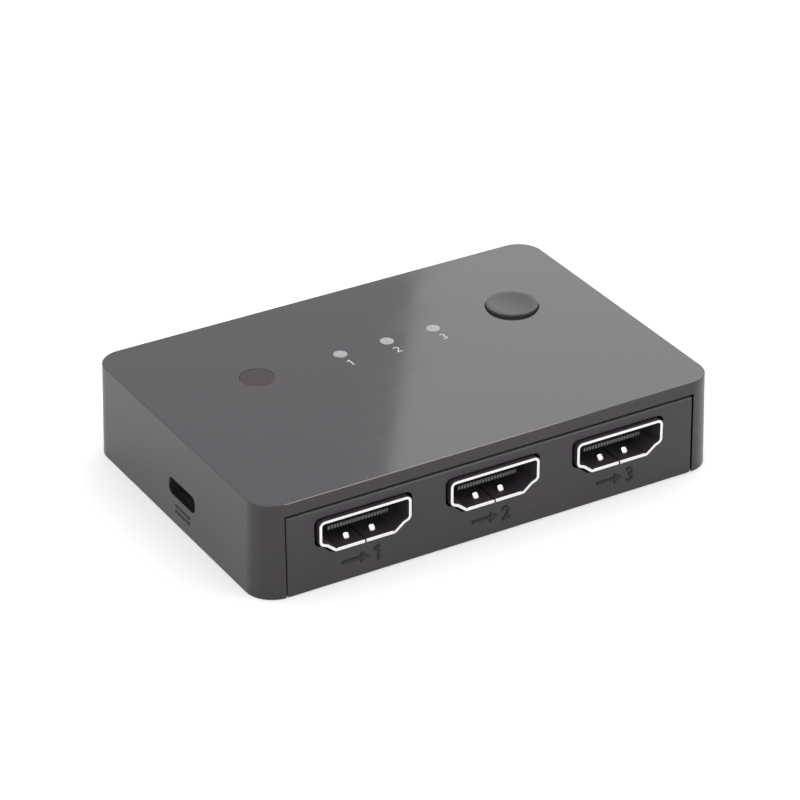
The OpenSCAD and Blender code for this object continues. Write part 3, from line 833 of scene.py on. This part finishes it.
@dataclass
class SignMaker:
    """Cuts flat signs, numerals or outlines, and sets them on a face of the case."""

    rise_mm: float = 0.16
    sunk_mm: float = 0.1
    soft_mm: float = 0.05
    soft_steps: int = 2
    round_steps: int = 6
    numeral_share: float = 0.73
    arrow_mm: float = 4.2
    head_mm: float = 1.5
    head_share: float = 0.8
    bar_mm: float = 0.36

    def _mesh(self, curve: bpy.types.Curve) -> Mesh:
        """Gives a flat curve its thickness and turns it into a closed mesh.

        Args:
            curve: The outline or text.

        Returns:
            The mesh, with its back at -sunk and its face at rise.
        """
        curve.extrude = max((self.rise_mm + self.sunk_mm) / 2 - self.soft_mm, 0.0) * MM
        curve.bevel_depth = self.soft_mm * MM
        curve.bevel_resolution = self.soft_steps
        holder = bpy.data.objects.new("sign_curve", curve)
        bpy.context.scene.collection.objects.link(holder)
        graph = bpy.context.evaluated_depsgraph_get()
        mesh = bpy.data.meshes.new_from_object(holder.evaluated_get(graph))
        bpy.data.objects.remove(holder)
        mesh.transform(Matrix.Translation((0, 0, (self.rise_mm - self.sunk_mm) / 2 * MM)))
        for face in mesh.polygons:
            face.use_smooth = False
        return mesh

    def numeral(self, text: str, height_mm: float) -> Mesh:
        """Makes a plain numeral about its own middle.

        Args:
            text: The numeral.
            height_mm: Its height.

        Returns:
            The mesh.
        """
        if text == "1":
            return self._one(height_mm)
        curve = bpy.data.curves.new("numeral_" + text, "FONT")
        curve.body = text
        curve.size = height_mm / self.numeral_share * MM
        curve.align_x = "CENTER"
        curve.resolution_u = self.round_steps
        mesh = self._mesh(curve)
        xs, ys = [v.co.x for v in mesh.vertices], [v.co.y for v in mesh.vertices]
        middle = Vector(((min(xs) + max(xs)) / 2, (min(ys) + max(ys)) / 2, 0))
        mesh.transform(Matrix.Translation(-middle))
        return mesh

    def _one(self, height_mm: float) -> Mesh:
        """Makes the numeral one with a flag, which the built-in letters lack.

        Args:
            height_mm: Its height.

        Returns:
            The mesh.
        """
        # Points in shares of the height: foot, stem and flag
        shape = [
            (0.0, -0.5), (0.14, -0.5), (0.14, 0.5), (0.03, 0.5),
            (-0.24, 0.34), (-0.24, 0.2), (0.0, 0.33),
        ]
        return self.outline("numeral_1", [[(x * height_mm, y * height_mm) for x, y in shape]])

    def outline(self, name: str, loops: Sequence[Sequence[Point]]) -> Mesh:
        """Makes a sign from closed outlines.

        Args:
            name: The sign's name.
            loops: Points of each outline, in millimetres.

        Returns:
            The mesh.
        """
        curve = bpy.data.curves.new(name, "CURVE")
        curve.dimensions = "2D"
        curve.fill_mode = "BOTH"
        for points in loops:
            spline = curve.splines.new("POLY")
            spline.points.add(len(points) - 1)
            for point, (x, y) in zip(spline.points, points):
                point.co = (x * MM, y * MM, 0.0, 1.0)
            spline.use_cyclic_u = True
        return self._mesh(curve)

    def arrow(self) -> Mesh:
        """Makes an arrow that points to the right, about its own middle.

        Returns:
            The mesh.
        """
        tip, h, b = self.arrow_mm / 2, self.head_mm / 2, self.bar_mm / 2
        neck = tip - self.head_share * self.head_mm
        bar = [(-tip, b), (-tip, -b), (neck, -b)]
        head = [(neck, -h), (tip, 0), (neck, h), (neck, b)]
        return self.outline("arrow", [bar + head])

    @staticmethod
    def seat(facing: Facing, origin: Vector, lean: float = 0.0) -> Matrix:
        """Gives the place of a sign on a face.

        Args:
            facing: The face.
            origin: The sign's middle, on the face.
            lean: How far the face leans back, in radians.

        Returns:
            The matrix that takes a sign from the flat to the face.
        """
        right, out = facing.value
        up = out.cross(right)
        tilt = Matrix.Rotation(-lean, 3, right)
        axes = Matrix((right, tilt @ up, tilt @ out)).transposed()
        return Matrix.Translation(origin) @ axes.to_4x4()


@dataclass
class Case(Assembly):
    """Upper shell, base, end panels and screws, with the signs moulded on them."""

    top_w: float = 76 * MM
    top_d: float = 51.5 * MM
    height: float = 15 * MM
    draft: float = 0.35 * MM
    shell_edge_mm: float = 0.05
    base_edge_mm: float = 0.15
    panel_edge_mm: float = 0.06
    screw_edge_mm: float = 0.1
    inputs: int = 3
    sign_z: float = 2.95 * MM
    numeral_mm: float = 2.3
    numeral_shift: float = 2.2 * MM
    arrow_shift: float = -1.4 * MM
    power_sign_z: float = 2.6 * MM
    line_half_mm: float = 2.1
    line_y_mm: float = 0.45
    line_thick_mm: float = 0.32
    dash_half_mm: float = 0.55
    dash_gap_mm: float = 0.4
    signs: SignMaker = field(default_factory=SignMaker)
    side_signs: SignMaker = field(default_factory=lambda: SignMaker(rise_mm=0.1))

    def build(self) -> None:
        """Dresses the case and adds its signs."""
        self.dress("upper_shell", CASE_PLASTIC, self.shell_edge_mm)
        self.dress("base_plate", BASE_PLASTIC, self.base_edge_mm)
        for node in ("front_panel", "rear_panel"):
            self.dress(node, PANEL_PLASTIC, self.panel_edge_mm)
        self.dress("case_screws", SCREW_STEEL, self.screw_edge_mm)
        self._input_signs()
        self._raise("output_arrow", self.signs.arrow(), Facing.BACK, 0.0, self.sign_z)
        self._power_sign()

    def _lean_at(self, z: float) -> float:
        """Returns how far a side stands out at height z."""
        return self.draft * (1 - z / self.height)

    def _raise(self, name: str, mesh: Mesh, facing: Facing, along: float, z: float) -> None:
        """Sets a raised sign on a leaning side.

        Args:
            name: The sign's name.
            mesh: The sign.
            facing: The side.
            along: Its place across the side, as the case's own x or y.
            z: Its height.
        """
        right, out = facing.value
        half = (self.top_w if out.x else self.top_d) / 2 + self._lean_at(z)
        across = Vector([abs(c) for c in right])
        middle = out * half + across * along + Vector((0, 0, z))
        lean = math.atan(self.draft / self.height)
        self.place(name, mesh, SignMaker.seat(facing, middle, lean), SIGN_PLASTIC)

    def _input_signs(self) -> None:
        """Adds a numeral and an arrow under each input."""
        for number in range(1, self.inputs + 1):
            x = middle_of(f"input_{number}_shell").x
            numeral = self.signs.numeral(str(number), self.numeral_mm)
            self._raise(f"input_{number}_numeral", numeral, Facing.FRONT,
                        x + self.numeral_shift, self.sign_z)
            self._raise(f"input_{number}_arrow", self.signs.arrow(), Facing.FRONT,
                        x + self.arrow_shift, self.sign_z)

    def _power_sign(self) -> None:
        """Adds the direct-current sign under the power slot: a line over a broken line."""
        end, dash, t = self.line_half_mm, self.dash_half_mm, self.line_thick_mm / 2
        line_y, dash_y = self.line_y_mm, -self.line_y_mm
        next_dash = dash + self.dash_gap_mm
        bars = [
            (-end, end, line_y),
            (-end, -next_dash, dash_y), (-dash, dash, dash_y), (next_dash, end, dash_y),
        ]
        loops = [[(a, y - t), (b, y - t), (b, y + t), (a, y + t)] for a, b, y in bars]
        self._raise("power_sign", self.side_signs.outline("power_sign", loops), Facing.LEFT,
                    middle_of("power_socket_shell").y, self.power_sign_z)


@dataclass
class Sockets(Assembly):
    """The four video sockets and the power socket."""

    video: tuple[str, ...] = ("input_1", "input_2", "input_3", "output")
    shell_edge_mm: float = 0.06
    block_edge_mm: float = 0.05
    contact_edge_mm: float = 0.02
    power_shell_edge_mm: float = 0.05
    power_block_edge_mm: float = 0.04

    def build(self) -> None:
        """Dresses the sockets' shells, blocks and contacts."""
        for socket in self.video:
            self.dress(f"{socket}_shell", SOCKET_STEEL, self.shell_edge_mm)
            self.dress(f"{socket}_insulator", SOCKET_PLASTIC, self.block_edge_mm)
            self.dress(f"{socket}_contacts", CONTACT_GOLD, self.contact_edge_mm)
        self.dress("power_socket_shell", POWER_STEEL, self.power_shell_edge_mm)
        self.dress("power_socket_insulator", SOCKET_PLASTIC, self.power_block_edge_mm)
        self.dress("power_socket_contacts", CONTACT_GOLD, self.contact_edge_mm)


@dataclass
class TopRow(Assembly):
    """Select button, press switch, indicators and infrared receiver, with printed numerals."""

    lights: int = 3
    print_gap: float = 3.1 * MM
    print_mm: float = 1.7
    button_edge_mm: float = 0.22
    switch_edge_mm: float = 0.15
    plunger_edge_mm: float = 0.1
    guide_edge_mm: float = 0.08
    lamp_edge_mm: float = 0.06
    window_edge_mm: float = 0.08
    receiver_edge_mm: float = 0.15
    ink: SignMaker = field(
        default_factory=lambda: SignMaker(rise_mm=0.015, sunk_mm=0.02, soft_mm=0.004)
    )

    def build(self) -> None:
        """Dresses the row and prints a numeral in front of each light."""
        self.dress("select_button", BUTTON_PLASTIC, self.button_edge_mm)
        self.dress("press_switch_body", SWITCH_PLASTIC, self.switch_edge_mm)
        self.dress("press_switch_plunger", PLUNGER_PLASTIC, self.plunger_edge_mm)
        self.dress("light_guide", GUIDE_ACRYLIC, self.guide_edge_mm)
        top_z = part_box("upper_shell")[1].z
        for number in range(1, self.lights + 1):
            self.dress(f"lamp_{number}", LAMP_RESIN, self.lamp_edge_mm)
            lamp = middle_of(f"lamp_{number}")
            seat = self.ink.seat(Facing.TOP, Vector((lamp.x, lamp.y - self.print_gap, top_z)))
            numeral = self.ink.numeral(str(number), self.print_mm)
            self.place(f"light_{number}_numeral", numeral, seat, INK)
        self.dress("receiver_window", WINDOW_RESIN, self.window_edge_mm)
        self.dress("remote_receiver", WINDOW_RESIN, self.receiver_edge_mm)


@dataclass
class Electronics(Assembly):
    """Circuit board and the packages on it."""

    leg_reach: float = 1.0 * MM
    seat_h: float = 0.6 * MM
    board_edge_mm: float = 0.05
    chip_edge_mm: float = 0.04
    can_edge_mm: float = 0.15

    def build(self) -> None:
        """Dresses the board and its packages."""
        self.dress("circuit_board", BOARD, self.board_edge_mm)
        legs_along = {
            "switching_chip": (True, True),
            "control_chip": (False, True),
            "voltage_regulator": (True, False),
        }
        for node, legs in legs_along.items():
            self.dress(node, self._package(node, legs), self.chip_edge_mm)
        can = CanMetal(
            "capacitor_can", "can_aluminium", centre_x=middle_of("smoothing_capacitor").x,
            seat_top=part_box("smoothing_capacitor")[0].z + self.seat_h,
        )
        self.dress("smoothing_capacitor", can, self.can_edge_mm)

    def _package(self, node: str, legs: tuple[bool, bool]) -> ChipPackage:
        """Describes a chip's finish from the node's own box.

        Args:
            node: The chip's node.
            legs: Whether its legs reach out along X and along Y.

        Returns:
            The finish.
        """
        low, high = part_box(node)
        middle, size = middle_of(node), high - low
        x, y = (size[i] / 2 - (self.leg_reach if legs[i] else 0.0) for i in (0, 1))
        return ChipPackage(
            node + "_package", "chip_epoxy", centre=(middle.x, middle.y), half=(x, y)
        )


@dataclass(frozen=True)
class Lamp:
    """One soft rectangular lamp that faces the part."""

    name: str
    toward: tuple[float, float, float]
    distance: float
    width: float
    height: float
    radiance: float

    def build(self, middle: Vector) -> None:
        """Adds the lamp.

        Args:
            middle: The point that it faces.
        """
        out = Vector(self.toward).normalized()
        data = bpy.data.lights.new(self.name, "AREA")
        data.shape = "RECTANGLE"
        data.size = self.width
        data.size_y = self.height
        data.energy = self.radiance * math.pi * self.width * self.height
        lamp = bpy.data.objects.new(self.name, data)
        turn = out.to_track_quat("Z", "Y").to_matrix().to_4x4()
        lamp.matrix_world = Matrix.Translation(middle + out * self.distance) @ turn
        bpy.context.scene.collection.objects.link(lamp)


@dataclass
class Studio:
    """Floor, even soft light and the camera."""

    floor_half: float = 4.0
    floor_z: float = -0.02 * MM
    floor_colour: float = 0.9
    floor_lift: float = 0.32
    sky: float = 0.96
    backdrop: float = 1.0
    lamps: tuple[Lamp, ...] = (
        Lamp("softbox_front", toward=(0.44, -0.45, 0.77), distance=1.3,
             width=0.3, height=0.24, radiance=5.5),
        Lamp("softbox_back", toward=(0.66, 0.58, 0.48), distance=1.6,
             width=0.9, height=0.7, radiance=0.95),
    )
    azimuth: float = -30.5893
    elevation: float = 29.3144
    distance: float = 517.378 * MM
    lens_mm: float = 157.188
    sensor_mm: float = 36.0
    clip: Range = (0.01, 20.0)
    middle: Vector = field(default_factory=lambda: Vector((0, 0, 7.5 * MM)))
    slide_right: float = -0.3982 * MM
    slide_up: float = 1.5949 * MM

    def build(self) -> None:
        """Makes the studio."""
        bpy.context.scene.view_settings.view_transform = "Standard"
        self._floor()
        self._world()
        for lamp in self.lamps:
            lamp.build(self.middle)
        self._camera()

    @staticmethod
    def _seen(tree: bpy.types.NodeTree) -> Socket:
        """Gives 1 for what the camera sees directly, in a mirror or through glass.

        Args:
            tree: The node tree that needs it.

        Returns:
            The value.
        """
        path = tree.nodes.new("ShaderNodeLightPath")
        value = path.outputs["Is Camera Ray"]
        for name in ("Is Glossy Ray", "Is Transmission Ray"):
            larger = tree.nodes.new("ShaderNodeMath")
            larger.operation = "MAXIMUM"
            tree.links.new(value, larger.inputs[0])
            tree.links.new(path.outputs[name], larger.inputs[1])
            value = larger.outputs[0]
        return value

    def _floor(self) -> None:
        """Makes a plain pale floor that keeps the part's shadow."""
        h, z = self.floor_half, self.floor_z
        mesh = bpy.data.meshes.new("floor")
        mesh.from_pydata([(-h, -h, z), (h, -h, z), (h, h, z), (-h, h, z)], [], [(0, 1, 2, 3)])
        floor = bpy.data.objects.new("floor", mesh)
        bpy.context.scene.collection.objects.link(floor)
        graph = NodeGraph("pale_floor")
        diffuse = graph.add("ShaderNodeBsdfDiffuse", {"Color": (self.floor_colour,) * 3 + (1,)})
        strength = graph.product(self._seen(graph.tree), self.floor_lift)
        lift = graph.add("ShaderNodeEmission", {"Strength": strength})
        both = graph.add("ShaderNodeAddShader", {0: diffuse.outputs[0], 1: lift.outputs[0]})
        graph.add("ShaderNodeOutputMaterial", {"Surface": both.outputs[0]})
        mesh.materials.append(graph.material)

    def _world(self) -> None:
        """Makes an even white surround."""
        world = bpy.data.worlds.new("studio")
        world.use_nodes = True
        bpy.context.scene.world = world
        tree = world.node_tree
        shade = tree.nodes["Background"]
        shade.inputs["Color"].default_value = (1, 1, 1, 1)
        strength = tree.nodes.new("ShaderNodeMapRange")
        strength.inputs["To Min"].default_value = self.sky
        strength.inputs["To Max"].default_value = self.backdrop
        tree.links.new(self._seen(tree), strength.inputs["Value"])
        tree.links.new(strength.outputs[0], shade.inputs["Strength"])

    def _camera(self) -> None:
        """Sets the camera at the photograph's viewing angle."""
        a, e = math.radians(self.azimuth), math.radians(self.elevation)
        right = Vector((math.cos(a), math.sin(a), 0))
        forward = Vector((-math.sin(a) * math.cos(e), math.cos(a) * math.cos(e), -math.sin(e)))
        up = right.cross(forward)
        aim = self.middle + right * self.slide_right + up * self.slide_up
        data = bpy.data.cameras.new("camera")
        data.sensor_width = self.sensor_mm
        data.lens = self.lens_mm
        data.clip_start, data.clip_end = self.clip
        camera = bpy.data.objects.new("camera", data)
        axes = Matrix((right, up, -forward)).transposed()
        camera.matrix_world = Matrix.Translation(aim - forward * self.distance) @ axes.to_4x4()
        bpy.context.scene.collection.objects.link(camera)
        bpy.context.scene.camera = camera


def write_sizes() -> None:
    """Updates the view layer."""
    bpy.context.view_layer.update()


def main() -> None:
    """Builds the studio and dresses each sub-assembly in order."""
    logging.basicConfig(level=logging.INFO, format="%(name)s: %(message)s")
    Studio().build()
    for assembly in (Case(), Sockets(), TopRow(), Electronics()):
        assembly.build()
    write_sizes()


if __name__ == "__main__":
    main()
